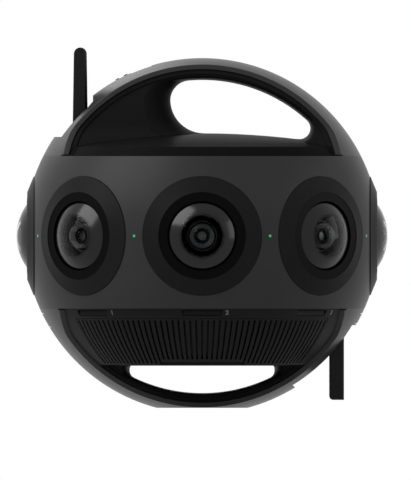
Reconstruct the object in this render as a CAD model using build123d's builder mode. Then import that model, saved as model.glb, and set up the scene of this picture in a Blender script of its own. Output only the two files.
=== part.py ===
from build123d import *
import math
import os

# Ball and its zones, heights are from the ball's centre
ball_radius = 114.0
base_flat_depth = 3.8
cut_overrun = 6.0
skin_gap = 0.1
parting_gap = 0.3
full_turn = 360
lens_count = 8
lens_step_angle = full_turn / lens_count

# Lens band
band_wall = 17.0
band_top_margin = 13.1
band_bottom_margin = 8.55

# Vertical ring, seen from the side
ring_skin_thickness = 2.7
ring_crown_half_width = 29.2
ring_knee_half_width = 37.0
ring_foot_margin = 11.4
ring_knee_rise = 17.0
ring_knee_fillet = 14.0
ring_edge_fillet = 0.6
ring_foot_relief_height = 0.9
ring_foot_relief_depth = 2.5
fairing_recess = 1.0
fairing_border_width = 3.0
web_recess = 0.8

# Handle opening, seen from the front
handle_strap_thickness = 14.1
handle_left_reach = 21.4
handle_left_lean = 3.0
handle_floor_gap = 0.1
handle_floor_slope = -0.061
handle_upper_left_fillet = 12.8
handle_lower_left_fillet = 21.6
handle_right_fillet = 6.9
handle_corner_share = 1.12
handle_outer_flare = 4.3
handle_left_flare = 19.0
handle_floor_flare = 4.0
handle_lower_left_flare = 3.0
handle_upper_left_flare = 5.0
handle_right_flare = 6.0

# Lower opening, seen from the front
lower_strap_thickness = 13.3
lower_gap_height = 18.7
lower_side_height = 7.4
lower_roof_fillet = 3.2
lower_floor_fillet = 4.8
lower_roof_lift = 1.2
lower_side_flare = 5.8
lower_outer_flare = 2.8
lower_fillet_flare = 0.4
roll_angles = (-90, -68, -46, -23, 0, 23, 46, 68, 90)
roll_overlap = 0.2

# Top deck
deck_rim_inset = 4.0
deck_lip_rise = 5.9
deck_lip_inset = 4.5
deck_crown_rise = 8.7
deck_wall = 3.0
deck_rib_width = 6.0
deck_mitre_reach = 83.5
deck_mitre_slope = 0.74
deck_mitre_width = 0.35
deck_mitre_depth = 0.5

# Lens bezel, heights are from its seat in the band, its radius is a share of half of the room
# that each lens has, and its other radii are shares of that radius
lens_seat_depth = 10.0
bezel_share = 0.8835
bezel_rim_height = 4.0
bezel_rim_fillet = 0.4
bezel_cone_height = 4.1
bezel_shoulder_share = 0.737
bezel_step = 0.25
bezel_bore_share = 0.585
bezel_face_height = 0.5
bezel_fit_gap = 0.2

# Lens barrel, its front flange lies under the bezel
barrel_lip_gap = 0.1
barrel_lip_height = 7.0
barrel_flange_share = 0.79
barrel_flange_thickness = 3.4
barrel_tube_inset = 0.7
barrel_rear_inset = 4.0
barrel_rear_length = 18.0
barrel_front_share = 0.788
barrel_bore_share = 0.47

# Glasses and stops inside the lens, radii are shares of the glass or ring that carries them
glass_side_gap = 0.7
glass_seat_height = 3.5
glass_edge_height = 3.8
glass_dome_share = 0.355
glass_hollow_share = 0.562
glass_centre_thickness = 2.2
glass_fit_gap = 0.05
inner_glass_share = 0.763
inner_glass_height = 1.5
inner_glass_thickness = 2.4
inner_glass_bulge = 1.1
inner_seat_depth = 3.2
baffle_share = 0.473
baffle_ring_depth = 1.7
pupil_share = 0.636
pupil_depth = 3.5
sensor_side_margin = 4.4
sensor_thickness = 2.0

# Status light pipes between the lenses
light_pipe_radius = 1.0
light_pipe_length = 8.0

# Finned panels
panel_recess = 2.4
panel_wall = 4.5
panel_floor_inset = 0.7
fin_count = 49
fin_side_margin = 7.7
fin_slot_width = 1.3
fin_slot_depth = 3.0
fin_top_margin = 7.55
fin_floor_inset = 0.8
fin_centre_lift = 2.6
fin_short_half_sweep = 20.0
frame_groove_margin = 1.5
frame_groove_width = 0.6
frame_groove_depth = 0.5
chin_half_width = 27.3
chin_end_slope = 1.4
chin_height = 1.7
chin_depth = 1.2

# Card slots and their covers
card_cover_width = 25.4
card_cover_height = 3.1
card_cover_thickness = 1.3
card_cover_taper = 0.7
card_cover_top_margin = 1.3
card_cover_recess = 0.7
card_cover_gap = 0.35
card_pocket_depth = 3.0
card_slot_count = 3

# Side covers on the ring's flanks and the ports in the bays behind them
side_cover_half_width = 16.0
side_cover_top_margin = 3.3
left_cover_height = 8.3
right_cover_height = 6.2
side_cover_fillet = 2.0
port_bay_depth = 4.0
port_pitch = 10.0
port_depth = 5.0
wide_port_width = 8.0
wide_port_height = 3.2
round_port_radius = 1.8

# Lower housing and its battery bay
housing_floor = 3.0
battery_length = 100.0
battery_width = 62.0
battery_top_gap = 5.6
battery_fillet = 6.0
battery_gap = 0.4

# Core frame, main board and fan
core_wall = 5.0
ledge_inset = 5.0
ledge_thickness = 2.0
board_ledge_rise = 22.0
board_side_gap = 2.0
board_thickness = 1.6
chip_width = 22.0
chip_thickness = 2.6
memory_count = 4
memory_width = 9.0
memory_thickness = 1.2
memory_gap = 8.5
fan_ledge_drop = 22.0
fan_side_gap = 3.0
fan_wall = 4.0
fan_height = 20.0
fan_floor = 2.0
fan_hub_radius = 14.0
fan_hub_height = 15.0
fan_tip_gap = 1.0
fan_float_gap = 0.3
fan_shaft_radius = 2.0
fan_shaft_fit = 0.05
fan_blade_count = 9
fan_blade_thickness = 1.2
fan_blade_height = 13.0
fan_blade_pitch = 32
fan_arm_count = 4
fan_arm_width = 5.0

# Upper antenna: pin, blade and the notch that it swings in
upper_pin_depth = 12.87
upper_pin_lift = 5.3
upper_length = 52.0
upper_root_width = 9.8
upper_tip_width = 8.3
upper_half_span = 20.0
upper_wall_gap = 8.1
upper_ledge_margin = 12.3
upper_notch_chamfer = 3.4
upper_facet_width = 1.9
upper_facet_depth = 3.0

# Lower antenna: pin, blade and the pocket that it folds into
lower_pin_depth = 8.95
lower_pin_margin = 16.2
lower_tip_clearance = 5.1
lower_width = 9.5
lower_half_span = 20.4
lower_fold_angle = 45
lower_pocket_half_width = 21.7
lower_pocket_gap = 0.8
lower_ledge_margin = 10.6
lower_tip_fillet = 2.6
lower_facet = 0.8

# Antenna hinges
hinge_pin_radius = 1.5
hinge_pin_fit = 0.05
hinge_ear_thickness = 5.0
hinge_ear_gap = 0.4
hinge_ear_radius = 3.9
lower_root_half_span = 12.0

# Buttons and display window on the ring
power_button_angle = -28.4
shutter_button_angle = -25.4
button_radius = 1.2
button_proud = 0.5
button_fit_gap = 0.12
button_flange_width = 0.6
button_flange_thickness = 0.8
button_well_depth = 4.0
button_crown_fillet = 0.4
button_seat_gap = 0.3
display_start_angle = -23.6
display_end_angle = -16.6
display_half_width = 11.0
display_recess = 0.4
display_thickness = 1.4
display_corner_fillet = 1.5

# Base with its tripod socket
base_pad_radius = 27.0
base_pad_height = 6.0
socket_roof = 0.7
socket_radius = 9.0
socket_flange_width = 3.0
socket_flange_thickness = 1.6
socket_thread_radius = 4.76
socket_end_wall = 0.9
base_screw_count = 4
base_screw_circle_radius = 19.5
base_screw_start_angle = 45
screw_head_radius = 2.75
screw_head_height = 2.0
screw_shank_radius = 1.5
screw_length = 6.6
screw_drive_radius = 1.3
screw_drive_sides = 6
screw_drive_depth = 1.2
screw_fit_gap = 0.1

# Planes and axes of the ball
base_drop = ball_radius - base_flat_depth
ball_centre = (0, 0, base_drop)
upright = Axis(ball_centre, (0, 0, 1))
across = Axis(ball_centre, (0, 1, 0))
level_plane = Plane(ball_centre)
front_plane = Plane(ball_centre, x_dir=(1, 0, 0), z_dir=(0, -1, 0))
side_plane = Plane(ball_centre, x_dir=(0, 1, 0), z_dir=(1, 0, 0))

os.makedirs("parts", exist_ok=True)


def save(piece, name):
    piece.label = name
    export_step(piece, f"parts/{name}.step")


# Plane through the ball's centre whose normal points out along a lens axis,
# with 0 degrees at the front and its own Y axis upward
def lensPlane(azimuth):
    turn = math.radians(azimuth)
    outward = (math.sin(turn), -math.cos(turn), 0)
    return Plane(ball_centre, x_dir=(math.cos(turn), math.sin(turn), 0), z_dir=outward)


# Plane through the ball's centre whose normal points out of the vertical ring,
# with 0 degrees at the top and positive angles to the right
def ringPlane(angle):
    turn = math.radians(angle)
    return Plane(ball_centre, x_dir=(0, 1, 0), z_dir=(math.sin(turn), 0, math.cos(turn)))


# Point at a radius and height on the profile plane of something round the upright axis
def heightAt(radius, rise):
    return (math.sqrt(radius**2 - rise**2), rise)


# Middle point of the arc round the ball's centre from one point to another
def arcMiddle(start, end, radius):
    toward = Vector(*start) + Vector(*end)
    middle = toward.normalized() * radius
    return (middle.X, middle.Y)


# Lens seat, bezel and the band's edges, which follow the room that each lens has
bezel_seat_distance = ball_radius - lens_seat_depth
sector_slope = math.tan(math.radians(lens_step_angle / 2))
bezel_radius = bezel_seat_distance * sector_slope * bezel_share
bezel_shoulder_radius = bezel_radius * bezel_shoulder_share
bezel_bore_radius = bezel_radius * bezel_bore_share
band_bore_radius = ball_radius - band_wall
band_top_rise = bezel_radius + band_top_margin
band_bottom_drop = bezel_radius + band_bottom_margin

# Ring, its openings and the body's floor
reach = ball_radius + cut_overrun
liner_radius = ball_radius - ring_skin_thickness - skin_gap
ring_foot_half_width = bezel_radius + ring_foot_margin
handle_outer_radius = ball_radius - handle_strap_thickness
handle_floor_rise = band_top_rise + deck_lip_rise + deck_crown_rise + handle_floor_gap
lower_outer_radius = ball_radius - lower_strap_thickness
body_floor_drop = lower_outer_radius - lower_gap_height + lower_roof_lift
lower_corner_drop = body_floor_drop - lower_roof_lift + lower_side_height
lower_half_width = heightAt(lower_outer_radius, lower_corner_drop)[0]

# Barrel, core frame and what the core frame holds
barrel_flange_radius = bezel_radius * barrel_flange_share
barrel_length = bezel_radius * barrel_front_share + barrel_rear_length
barrel_end_distance = bezel_seat_distance - barrel_length
core_apothem = barrel_end_distance - sensor_thickness
core_bore = core_apothem - core_wall
sensor_width = 2 * (core_apothem * sector_slope - sensor_side_margin)
board_radius = core_bore - board_side_gap
fan_outer_radius = core_bore - fan_side_gap
fan_bore_radius = fan_outer_radius - fan_wall
memory_reach = (chip_width + memory_width) / 2 + memory_gap

# Finned panels, card slots, side covers and battery
panel_radius = ball_radius - panel_recess
housing_radius = panel_radius - panel_wall - skin_gap
panel_bottom_drop = body_floor_drop - panel_floor_inset
fin_top_drop = band_bottom_drop + fin_top_margin
fin_bottom_drop = panel_bottom_drop - fin_floor_inset
fin_short_bottom_drop = fin_bottom_drop - fin_centre_lift
card_cover_drop = band_bottom_drop + card_cover_top_margin
side_cover_top_drop = band_bottom_drop + side_cover_top_margin
battery_height = body_floor_drop - housing_floor - band_bottom_drop - battery_top_gap

# Antenna pins, the notch round the upper one and the ledge over the lower one
upper_notch_ledge_rise = band_top_rise + upper_ledge_margin
upper_pin_rise = upper_notch_ledge_rise + upper_pin_lift
upper_pin_x = upper_pin_depth - heightAt(ball_radius, upper_pin_rise)[0]
upper_notch_wall_x = upper_pin_x + upper_wall_gap
lower_pin_drop = band_bottom_drop + lower_pin_margin
lower_pin_x = heightAt(ball_radius, lower_pin_drop)[0] - lower_pin_depth
lower_ledge_drop = band_bottom_drop + lower_ledge_margin
lower_length = base_drop - lower_tip_clearance - lower_pin_drop

# Button flange and tripod socket
button_flange_radius = button_radius + button_flange_width
socket_flange_radius = socket_radius + socket_flange_width
socket_height = lower_strap_thickness - base_flat_depth - socket_roof
socket_thread_depth = socket_height - socket_end_wall


# Solid of revolution about the upright axis between two levels of one sphere
def ballZone(radius, low, high):
    top = heightAt(radius, high)
    bottom = heightAt(radius, low)
    with BuildPart() as zone:
        with BuildSketch(front_plane):
            with BuildLine():
                ThreePointArc(top, arcMiddle(top, bottom, radius), bottom)
                Polyline(bottom, (0, low), (0, high), top)
            make_face()
        revolve(axis=upright)
    return zone.part


# Drum about the front-to-back axis, as wide as the ring's foot, with a spherical rim
def ringDrum(radius, half_width):
    rim = math.sqrt(radius**2 - half_width**2)
    with BuildPart() as drum:
        with BuildSketch(side_plane):
            with BuildLine():
                ThreePointArc((-half_width, rim), (0, radius), (half_width, rim))
                Polyline((half_width, rim), (half_width, 0), (-half_width, 0), (-half_width, rim))
            make_face()
        revolve(axis=across)
    return drum.part


# Block with the ring's outline as seen from the side, on the band's upper or lower edge
def ringBlock(edge_rise, side, inset):
    foot = side * edge_rise
    knee = side * (edge_rise + ring_knee_rise)
    crown = side * reach
    halves = [
        (ring_foot_half_width - inset, foot),
        (ring_knee_half_width - inset, knee),
        (ring_crown_half_width - inset, crown),
    ]
    mirrored = [(-width, level) for width, level in reversed(halves)]
    with BuildPart() as block:
        with BuildSketch(side_plane) as outline:
            with BuildLine():
                Polyline(*halves, *mirrored, close=True)
            make_face()
            fillet(outline.vertices().group_by(Axis.Y)[1], ring_knee_fillet)
        extrude(amount=reach, both=True)
    return block.part


# Handle opening at one depth: a curved roof round the ball's centre, a leaning left side
# and a sloped floor, with rounded corners that shrink where the left side is short
def handleOutline(plane, growth):
    left = -handle_left_reach - growth * handle_left_flare
    roof = handle_outer_radius + growth * handle_outer_flare
    floor = handle_floor_rise - growth * handle_floor_flare
    slope = handle_floor_slope
    square = 1 + slope**2
    right = (-slope * floor + math.sqrt((slope * floor) ** 2 - square * (floor**2 - roof**2))) / square
    roof_start = (left, heightAt(roof, left)[0])
    roof_end = (right, floor + slope * right)
    floor_start = (left + handle_left_lean, floor + slope * (left + handle_left_lean))
    lower_left_radius = handle_lower_left_fillet + growth * handle_lower_left_flare
    upper_left_radius = handle_upper_left_fillet + growth * handle_upper_left_flare
    side_height = roof_start[1] - floor_start[1]
    room = min(1, handle_corner_share * side_height / (lower_left_radius + upper_left_radius))
    right_radius = room * (handle_right_fillet + growth * handle_right_flare)
    with BuildSketch(plane) as outline:
        with BuildLine():
            ThreePointArc(roof_start, arcMiddle(roof_start, roof_end, roof), roof_end)
            Polyline(roof_end, floor_start, roof_start)
        make_face()
        left_corners = outline.vertices().sort_by(Axis.X)[:2]
        fillet(left_corners.sort_by(Axis.Y)[0], room * lower_left_radius)
        fillet(outline.vertices().sort_by(Axis.Y)[-1], room * upper_left_radius)
        fillet(outline.vertices().sort_by(Axis.X)[-1], right_radius)
    return outline.sketch


# Lower opening at one depth: flat roof, upright sides and a curved floor
def lowerOutline(plane, growth):
    side = lower_half_width + growth * lower_side_flare
    floor = lower_outer_radius + growth * lower_outer_flare
    roof = -body_floor_drop + lower_roof_lift
    corner = -heightAt(floor, side)[0]
    with BuildSketch(plane) as outline:
        with BuildLine():
            ThreePointArc((-side, corner), (0, -floor), (side, corner))
            Polyline((side, corner), (side, roof), (-side, roof), (-side, corner))
        make_face()
        fillet(outline.vertices().group_by(Axis.Y)[-1], lower_roof_fillet + growth * lower_fillet_flare)
        floor_corners = outline.vertices().sort_by(Axis.Y)[:2]
        fillet(floor_corners, lower_floor_fillet + growth * lower_fillet_flare)
    return outline.sketch


# Opening through the ring whose walls roll outward until they lie close to the fairing's two
# faces, which lean toward each other, and pass just through them
def rolledOpening(drawOutline, edge_rise, side):
    knee_rise = edge_rise + ring_knee_rise
    lean = (ring_knee_half_width - ring_crown_half_width) / (reach - knee_rise)
    web_depth = ring_knee_half_width - fairing_recess - web_recess
    face_depth = web_depth + lean * knee_rise + roll_overlap
    sections = []
    for angle in roll_angles:
        turn = math.radians(angle)
        share = math.sin(turn)
        plane = Plane(
            (0, -face_depth * share, base_drop), x_dir=(1, 0, 0), z_dir=(0, -1, side * lean * share)
        )
        sections.append(drawOutline(plane, 1 - math.cos(turn)).face())
    with BuildPart() as opening:
        loft(sections=sections)
        extrude(sections[0], amount=reach, dir=(0, 1, 0))
        extrude(sections[-1], amount=reach, dir=(0, -1, 0))
    return opening.part


# Notch in the ring round the upper antenna, open upward and outward
with BuildPart() as upper_notch:
    with BuildSketch(level_plane.offset(upper_notch_ledge_rise)) as notch_plan:
        with Locations((upper_notch_wall_x, 0)):
            Rectangle(reach, 2 * ring_crown_half_width, align=(Align.MAX, Align.CENTER))
        chamfer(notch_plan.vertices().group_by(Axis.X)[-1], upper_notch_chamfer)
    extrude(amount=reach)

# Pocket in the ring that the lower antenna folds into
lower_fold = math.radians(lower_fold_angle)
fold_along = Vector(-math.sin(lower_fold), -math.cos(lower_fold))
fold_out = Vector(math.cos(lower_fold), -math.sin(lower_fold))
lower_pin = Vector(lower_pin_x, -lower_pin_drop)
pocket_floor_start = lower_pin - fold_out * (lower_width / 2 + lower_pocket_gap)
ledge_steps = (-lower_ledge_drop - pocket_floor_start.Y) / fold_along.Y
pocket_top = pocket_floor_start + fold_along * ledge_steps
pocket_end = pocket_floor_start + fold_along * (lower_length + lower_pocket_gap)
pocket_out = pocket_end + fold_out * (ball_radius / 2)
with BuildPart() as lower_pocket:
    with BuildSketch(front_plane):
        with BuildLine():
            Polyline(
                (pocket_top.X, pocket_top.Y),
                (pocket_end.X, pocket_end.Y),
                (pocket_out.X, pocket_out.Y),
                (reach, pocket_out.Y),
                (reach, -lower_ledge_drop),
                close=True,
            )
        make_face()
    extrude(amount=lower_pocket_half_width, both=True)

# Lens band housing with its lens seats and light pipe bores
seat_radius = bezel_radius + bezel_fit_gap
flange_bore = barrel_flange_radius + bezel_fit_gap
with BuildPart() as band:
    add(ballZone(ball_radius, -band_bottom_drop, band_top_rise))
    with BuildSketch(level_plane.offset(-band_bottom_drop)):
        Circle(band_bore_radius)
    extrude(amount=band_bottom_drop + band_top_rise, mode=Mode.SUBTRACT)
    for index in range(lens_count):
        lens_plane = lensPlane(index * lens_step_angle)
        with BuildSketch(lens_plane.offset(bezel_seat_distance)):
            Circle(seat_radius)
        extrude(amount=ball_radius - bezel_seat_distance + cut_overrun, mode=Mode.SUBTRACT)
        with BuildSketch(lens_plane.offset(band_bore_radius - barrel_flange_radius)):
            Circle(flange_bore)
        extrude(amount=ball_radius, mode=Mode.SUBTRACT)
        with BuildSketch(lensPlane((index + 1 / 2) * lens_step_angle).offset(band_bore_radius)):
            Circle(light_pipe_radius + skin_gap)
        extrude(amount=ball_radius, mode=Mode.SUBTRACT)
for side_name, kept_half in (("left", Keep.BOTTOM), ("right", Keep.TOP)):
    with BuildPart() as band_half:
        add(band.part)
        split(bisect_by=side_plane, keep=kept_half)
    save(band_half.part, f"band_housing_{side_name}")

# Top deck: sloped lip and low dome
deck_rim_radius = heightAt(ball_radius, band_top_rise)[0] - deck_rim_inset
deck_top_radius = deck_rim_radius - deck_lip_inset
dome_radius = (deck_top_radius**2 + deck_crown_rise**2) / (2 * deck_crown_rise)
deck_rim_top = band_top_rise + deck_lip_rise
with BuildPart() as top_deck:
    with BuildSketch(front_plane):
        with BuildLine():
            Line((0, band_top_rise), (deck_rim_radius, band_top_rise))
            Line((deck_rim_radius, band_top_rise), (deck_top_radius, deck_rim_top))
            RadiusArc(
                (deck_top_radius, deck_rim_top), (0, deck_rim_top + deck_crown_rise), -dome_radius
            )
            Line((0, deck_rim_top + deck_crown_rise), (0, band_top_rise))
        make_face()
    revolve(axis=upright)
top_deck_envelope = top_deck.part
cavity_radius = deck_top_radius - deck_wall
dome_centre_rise = deck_rim_top + deck_crown_rise - dome_radius
cavity_crown = dome_centre_rise + dome_radius - deck_wall
cavity_rim = dome_centre_rise + math.sqrt((dome_radius - deck_wall) ** 2 - cavity_radius**2)
with BuildPart() as top_deck_shell:
    add(top_deck_envelope)
    with BuildSketch(front_plane):
        with BuildLine():
            Polyline((0, cavity_crown), (0, band_top_rise), (cavity_radius, band_top_rise))
            Line((cavity_radius, band_top_rise), (cavity_radius, cavity_rim))
            RadiusArc((cavity_radius, cavity_rim), (0, cavity_crown), -dome_radius + deck_wall)
        make_face()
        with Locations((core_apothem, band_top_rise)):
            Rectangle(
                deck_rib_width,
                ball_radius,
                align=(Align.MIN, Align.CENTER),
                mode=Mode.SUBTRACT,
            )
    revolve(axis=upright, mode=Mode.SUBTRACT)
    for side in (-1, 1):
        foot_x = side * deck_mitre_reach
        head_x = foot_x - side * deck_lip_rise * deck_mitre_slope
        foot_depth = heightAt(deck_rim_radius, foot_x)[0] - deck_mitre_depth
        head_depth = heightAt(deck_top_radius, head_x)[0] - deck_mitre_depth
        for end in (-1, 1):
            foot = Vector(foot_x, end * foot_depth, base_drop + band_top_rise)
            head = Vector(head_x, end * head_depth, base_drop + deck_rim_top)
            outward = Vector(0, end, 0)
            with BuildSketch(Plane((foot + head) / 2, x_dir=outward, z_dir=head - foot)):
                Rectangle(
                    2 * deck_lip_inset, deck_mitre_width, align=(Align.MIN, Align.CENTER)
                )
            extrude(amount=deck_lip_rise, both=True, mode=Mode.SUBTRACT)
save(top_deck_shell.part, "top_deck")


# Thin spherical skin of the ring above or below the band
def ringSkin(edge_rise, side):
    with BuildPart() as skin:
        add(ringDrum(ball_radius, ring_foot_half_width + cut_overrun))
        add(
            ringDrum(ball_radius - ring_skin_thickness, ring_foot_half_width + 2 * cut_overrun),
            mode=Mode.SUBTRACT,
        )
        add(ringBlock(edge_rise, side, 0), mode=Mode.INTERSECT)
        outer_face = skin.faces().sort_by(lambda face: face.area)[-1]
        foot_level = base_drop + side * edge_rise
        long_edges = outer_face.edges() - outer_face.edges().filter_by_position(
            Axis.Z, foot_level - skin_gap, foot_level + skin_gap
        )
        fillet(long_edges, ring_edge_fillet)
        foot = side * (edge_rise + ring_foot_relief_height / 2)
        for end in (-1, 1):
            with BuildSketch(side_plane):
                with Locations((end * ring_foot_half_width, foot)):
                    Rectangle(2 * ring_foot_relief_depth, ring_foot_relief_height)
            extrude(amount=reach, both=True, mode=Mode.SUBTRACT)
    return skin.part


# Solid that fills the ring inside its skin, above or below the band
def ringFilling(edge_rise, side, inset):
    with BuildPart() as filling:
        add(ringDrum(liner_radius, ring_foot_half_width + cut_overrun))
        add(ringBlock(edge_rise, side, inset), mode=Mode.INTERSECT)
    return filling.part


# Filling with a flush border along the ring's skin and a slightly deeper web inside it
def fairingBody(edge_rise, side):
    with BuildPart() as body:
        add(ringFilling(edge_rise, side, fairing_recess))
        add(ringDrum(liner_radius - fairing_border_width, reach / 2), mode=Mode.SUBTRACT)
        add(ringFilling(edge_rise, side, fairing_recess + web_recess))
    return body.part


# Standard pieces of the controls, standing on the ball's centre along +Z
def buttonWell():
    with BuildPart() as well:
        with BuildSketch(Plane.XY.offset(ball_radius - ring_skin_thickness - button_well_depth)):
            Circle(button_flange_radius + button_fit_gap)
        extrude(amount=button_well_depth - button_seat_gap)
        with BuildSketch(Plane.XY.offset(ball_radius - ring_skin_thickness - button_well_depth)):
            Circle(button_radius + button_fit_gap)
        extrude(amount=ball_radius / 2)
    return well.part


button_top = ball_radius + button_proud
flange_top = ball_radius - ring_skin_thickness - 2 * button_seat_gap
with BuildPart() as button:
    with BuildSketch(Plane.XY.offset(flange_top - button_flange_thickness)):
        Circle(button_flange_radius)
    extrude(amount=button_flange_thickness)
    with BuildSketch(Plane.XY.offset(flange_top - button_flange_thickness)):
        Circle(button_radius)
    extrude(amount=button_top - flange_top + button_flange_thickness)
    fillet(button.edges().group_by(Axis.Z)[-1], button_crown_fillet)
for button_name, button_angle in (
    ("power_button", power_button_angle),
    ("shutter_button", shutter_button_angle),
):
    save(ringPlane(button_angle).location * button.part, button_name)

display_angle = (display_start_angle + display_end_angle) / 2
display_half_sweep = math.radians(display_end_angle - display_start_angle) / 2
display_half_length = ball_radius * math.sin(display_half_sweep)


# Upright block over the display window's outline
def displayBlock(gap):
    with BuildPart() as block:
        with BuildSketch(ringPlane(display_angle)) as outline:
            Rectangle(2 * (display_half_width + gap), 2 * (display_half_length + gap))
            fillet(outline.vertices(), display_corner_fillet + gap)
        extrude(amount=reach)
    return block.part


display_top_radius = ball_radius - display_recess
with BuildPart() as display_window:
    add(ringDrum(display_top_radius, ring_foot_half_width))
    add(ringDrum(display_top_radius - display_thickness, reach / 2), mode=Mode.SUBTRACT)
    add(displayBlock(0), mode=Mode.INTERSECT)
save(display_window.part, "display_window")

# Upper ring shell
display_seat_radius = display_top_radius - display_thickness - skin_gap
with BuildPart() as display_pocket:
    add(displayBlock(skin_gap))
    add(ringDrum(display_seat_radius, ring_foot_half_width), mode=Mode.SUBTRACT)
with BuildPart() as ring_shell_upper:
    add(ringSkin(band_top_rise, 1))
    add(upper_notch.part, mode=Mode.SUBTRACT)
    add(display_pocket.part, mode=Mode.SUBTRACT)
    for button_angle in (power_button_angle, shutter_button_angle):
        add(ringPlane(button_angle).location * buttonWell(), mode=Mode.SUBTRACT)
save(ring_shell_upper.part, "ring_shell_upper")

# Handle fairing, split into a front and a rear half
with BuildPart() as handle_fairing:
    add(fairingBody(band_top_rise, 1))
    add(rolledOpening(handleOutline, band_top_rise, 1), mode=Mode.SUBTRACT)
    add(top_deck_envelope, mode=Mode.SUBTRACT)
    add(upper_notch.part, mode=Mode.SUBTRACT)
    for button_angle in (power_button_angle, shutter_button_angle):
        add(ringPlane(button_angle).location * buttonWell(), mode=Mode.SUBTRACT)
for side_name, kept_half in (("front", Keep.TOP), ("rear", Keep.BOTTOM)):
    with BuildPart() as fairing_half:
        add(handle_fairing.part)
        split(bisect_by=front_plane, keep=kept_half)
    save(fairing_half.part, f"handle_fairing_{side_name}")


# Patch of the ring's skin under one side cover, grown by a gap all round
def sideCoverBlock(side, gap):
    height = right_cover_height if side > 0 else left_cover_height
    middle = -side_cover_top_drop - height / 2
    with BuildPart() as block:
        with BuildSketch(side_plane) as outline:
            with Locations((0, middle)):
                Rectangle(2 * (side_cover_half_width + gap), height + 2 * gap)
            fillet(outline.vertices(), side_cover_fillet + gap)
        extrude(amount=side * reach)
    return block.part


# Base pad, screws and socket stand on the base flat
with BuildPart() as base_flat_cut:
    with BuildSketch(Plane.XY):
        Circle(ball_radius)
    extrude(amount=-2 * cut_overrun)
base_screw_places = PolarLocations(
    base_screw_circle_radius, base_screw_count, start_angle=base_screw_start_angle
)
with BuildPart() as base_holes:
    with BuildSketch(Plane.XY):
        Circle(socket_flange_radius + skin_gap)
    extrude(amount=socket_flange_thickness)
    with BuildSketch(Plane.XY):
        Circle(socket_radius + skin_gap)
    extrude(amount=socket_height + skin_gap)
    with BuildSketch(Plane.XY):
        with base_screw_places:
            Circle(screw_head_radius + screw_fit_gap)
    extrude(amount=screw_head_height)
    with BuildSketch(Plane.XY):
        with base_screw_places:
            Circle(screw_shank_radius + screw_fit_gap)
    extrude(amount=screw_length + skin_gap)

# Lower ring shell with its base pad and cover openings
with BuildPart() as ring_shell_lower:
    add(ringSkin(band_bottom_drop, -1))
    with BuildSketch(Plane.XY):
        Circle(base_pad_radius)
    extrude(amount=base_pad_height)
    add(base_flat_cut.part, mode=Mode.SUBTRACT)
    add(base_holes.part, mode=Mode.SUBTRACT)
    add(lower_pocket.part, mode=Mode.SUBTRACT)
    for side in (-1, 1):
        add(sideCoverBlock(side, parting_gap), mode=Mode.SUBTRACT)
save(ring_shell_lower.part, "ring_shell_lower")

# Side covers
for side_name, side in (("left", -1), ("right", 1)):
    with BuildPart() as side_cover:
        add(ringDrum(ball_radius, ring_foot_half_width))
        add(ringDrum(ball_radius - ring_skin_thickness, reach / 2), mode=Mode.SUBTRACT)
        add(sideCoverBlock(side, 0), mode=Mode.INTERSECT)
    save(side_cover.part, f"side_cover_{side_name}")

# Lower fairing under the body
with BuildPart() as lower_fairing:
    add(fairingBody(band_bottom_drop, -1))
    with BuildSketch(level_plane.offset(-body_floor_drop)):
        Circle(reach)
    extrude(amount=reach, mode=Mode.SUBTRACT)
    add(rolledOpening(lowerOutline, band_bottom_drop, -1), mode=Mode.SUBTRACT)
    with BuildSketch(Plane.XY):
        Circle(base_pad_radius + skin_gap)
    extrude(amount=base_pad_height + skin_gap, mode=Mode.SUBTRACT)
    add(base_flat_cut.part, mode=Mode.SUBTRACT)
    add(base_holes.part, mode=Mode.SUBTRACT)
    add(lower_pocket.part, mode=Mode.SUBTRACT)
save(lower_fairing.part, "lower_fairing")


# Ring filling above the body's floor, which backs the ring's skin between the fin panels
def housingCore():
    with BuildPart() as core:
        add(ringFilling(band_bottom_drop, -1, 0))
        with BuildSketch(level_plane.offset(-body_floor_drop)):
            Circle(reach)
        extrude(amount=-reach, mode=Mode.SUBTRACT)
    return core.part


# Recess behind one side cover, which holds the ports
def portBay(side):
    with BuildPart() as bay:
        add(sideCoverBlock(side, parting_gap))
        add(ringDrum(liner_radius - port_bay_depth, ring_foot_half_width), mode=Mode.SUBTRACT)
    return bay.part


# Recesses of the ports in the floor of one bay: a wide one between two round ones
def portHoles(side):
    height = right_cover_height if side > 0 else left_cover_height
    middle = -side_cover_top_drop - height / 2
    bay_floor_distance = heightAt(liner_radius - port_bay_depth, middle)[0]
    with BuildPart() as holes:
        with BuildSketch(side_plane.offset(side * (bay_floor_distance - port_depth))):
            with Locations((0, middle)):
                SlotOverall(wide_port_width, wide_port_height)
            with Locations((-port_pitch, middle), (port_pitch, middle)):
                Circle(round_port_radius)
        extrude(amount=side * (port_depth + cut_overrun / 2))
    return holes.part


# Lower housing: ball zone behind the fin panels, ring filling between them, battery bay on top
bay_floor = -body_floor_drop + housing_floor
with BuildPart() as lower_housing:
    add(ballZone(housing_radius, -body_floor_drop, -band_bottom_drop))
    add(housingCore())
    with BuildSketch(level_plane.offset(bay_floor)) as bay_outline:
        Rectangle(battery_length + 2 * battery_gap, battery_width + 2 * battery_gap)
        fillet(bay_outline.vertices(), battery_fillet + battery_gap)
    extrude(amount=reach, mode=Mode.SUBTRACT)
    add(lower_pocket.part, mode=Mode.SUBTRACT)
    for side in (-1, 1):
        add(portBay(side), mode=Mode.SUBTRACT)
        add(portHoles(side), mode=Mode.SUBTRACT)
save(lower_housing.part, "lower_housing")

# Battery pack
with BuildPart() as battery_pack:
    with BuildSketch(level_plane.offset(bay_floor)) as battery_outline:
        Rectangle(battery_length, battery_width)
        fillet(battery_outline.vertices(), battery_fillet)
    extrude(amount=battery_height)
save(battery_pack.part, "battery_pack")

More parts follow.
